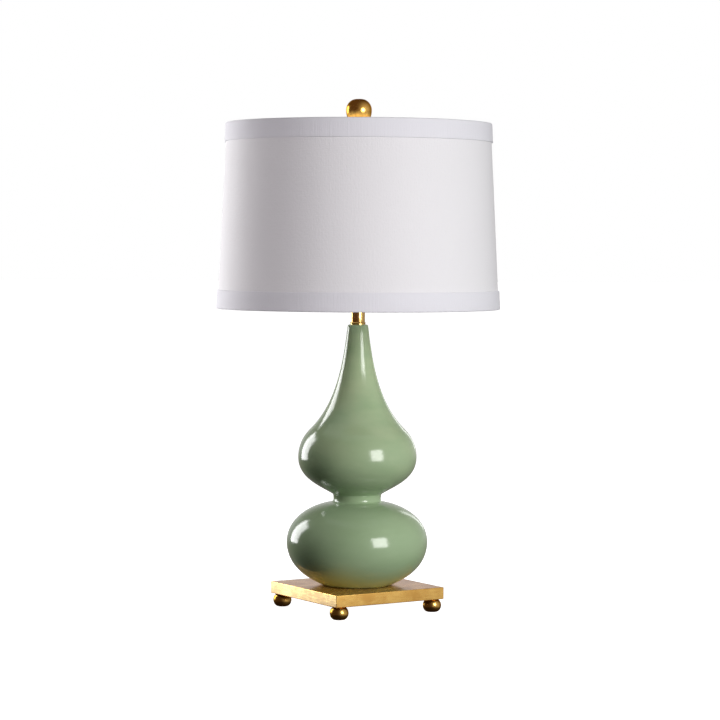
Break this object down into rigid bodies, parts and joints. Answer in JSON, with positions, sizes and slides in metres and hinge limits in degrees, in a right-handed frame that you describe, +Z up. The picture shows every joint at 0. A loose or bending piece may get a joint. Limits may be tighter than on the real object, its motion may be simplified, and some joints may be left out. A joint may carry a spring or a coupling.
{
  "type": "table lamp",
  "caption": "Double-gourd ceramic table lamp on a gilded square plate with ball feet, with a lift-off hard-back drum shade on a detachable harp, a screw-in bulb and a turn-key switch.",
  "frame": {"origin": "on the table, midway between the four feet, under the lamp's axis", "axes": "+Z up the lamp's axis; X and Y along the sides of the base plate; the switch's key points along -Y, and the harp stands in the XZ plane"},
  "size_m": [0.3844, 0.3844, 0.6917],
  "materials": {
    "gilded_wood": "gold leaf over turned and sanded wood, rubbed and waxed",
    "antiqued_gilding": "gold leaf darkened with an umber glaze",
    "celadon_glaze": "glossy grey-green celadon glaze",
    "polished_brass": "polished and lacquered",
    "satin_brass": "brushed and lacquered",
    "zinc_steel": "bright zinc plate",
    "black_moulding": "moulded phenolic, satin",
    "nylon": "moulded nylon",
    "liner_board": "pressed insulating board",
    "nickel": "bright nickel plate",
    "bulb_glass": "inside-frosted",
    "black_glass": "fused black insulator",
    "solder": "dull",
    "linen": "off-white slub linen",
    "linen_trim": "off-white ribbed linen tape",
    "liner_film": "translucent white styrene",
    "white_wire": "white powder coat"
  },
  "bodies": {
    "base": {"foot_front_left": "antiqued_gilding", "foot_front_right": "antiqued_gilding", "foot_back_left": "antiqued_gilding", "foot_back_right": "antiqued_gilding", "foot_screws": "zinc_steel", "base_plate": "gilded_wood", "ceramic_body": "celadon_glaze", "threaded_rod": "zinc_steel", "rod_washer": "zinc_steel", "rod_lock_washer": "zinc_steel", "rod_nut": "zinc_steel", "cord_bushing": "nylon", "check_ring": "polished_brass", "neck_tube": "polished_brass", "harp_saddle": "satin_brass", "socket_cap": "satin_brass", "socket_shell": "satin_brass", "socket_liner": "liner_board", "socket_core": "black_moulding", "terminal_screws": "satin_brass", "screw_shell": "nickel", "centre_contact": "satin_brass"},
    "switch": {"switch_shaft": "satin_brass", "switch_key": "black_moulding"},
    "bulb": {"bulb_glass": "bulb_glass", "bulb_cap": "nickel", "bulb_insulator": "black_glass", "bulb_tip": "solder"},
    "harp": {"harp_bow": "satin_brass"},
    "sleeve_right": {"harp_sleeve_right": "satin_brass"},
    "sleeve_left": {"harp_sleeve_left": "satin_brass"},
    "stud": {"harp_stud": "satin_brass"},
    "shade": {"spider_washer": "satin_brass", "spider_arms": "satin_brass", "shade_top_ring": "white_wire", "shade_bottom_ring": "white_wire", "shade_liner": "liner_film", "shade_cover": "linen", "shade_top_trim": "linen_trim", "shade_bottom_trim": "linen_trim"},
    "finial": {"finial_base": "polished_brass", "finial_ball": "gilded_wood"}
  },
  "joints": [
    {"name": "switch_turn", "type": "hinge", "parent": "base", "child": "switch", "pos_m": [0, 0, 0.4429], "axis": [0, -1, 0], "continuous": true},
    {"name": "bulb_unscrew", "type": "hinge", "parent": "base", "child": "bulb", "pos_m": [0, 0, 0.45315], "axis": [0, 0, 1], "range_deg": [0, 1620]},
    {"name": "harp_lift", "type": "slide", "parent": "base", "child": "harp", "axis": [0, 0, 1], "range_m": [0, 0.04]},
    {"name": "sleeve_right_lift", "type": "slide", "parent": "harp", "child": "sleeve_right", "axis": [0, 0, 1], "range_m": [0, 0.013]},
    {"name": "sleeve_left_lift", "type": "slide", "parent": "harp", "child": "sleeve_left", "axis": [0, 0, 1], "range_m": [0, 0.013]},
    {"name": "stud_swivel", "type": "hinge", "parent": "harp", "child": "stud", "pos_m": [0, 0, 0.6444], "axis": [0, 0, 1], "continuous": true},
    {"name": "shade_lift", "type": "slide", "parent": "stud", "child": "shade", "axis": [0, 0, 1], "range_m": [0, 0.25]},
    {"name": "finial_unscrew", "type": "hinge", "parent": "shade", "child": "finial", "pos_m": [0, 0, 0.6476], "axis": [0, 0, 1], "range_deg": [0, 3510]}
  ]
}
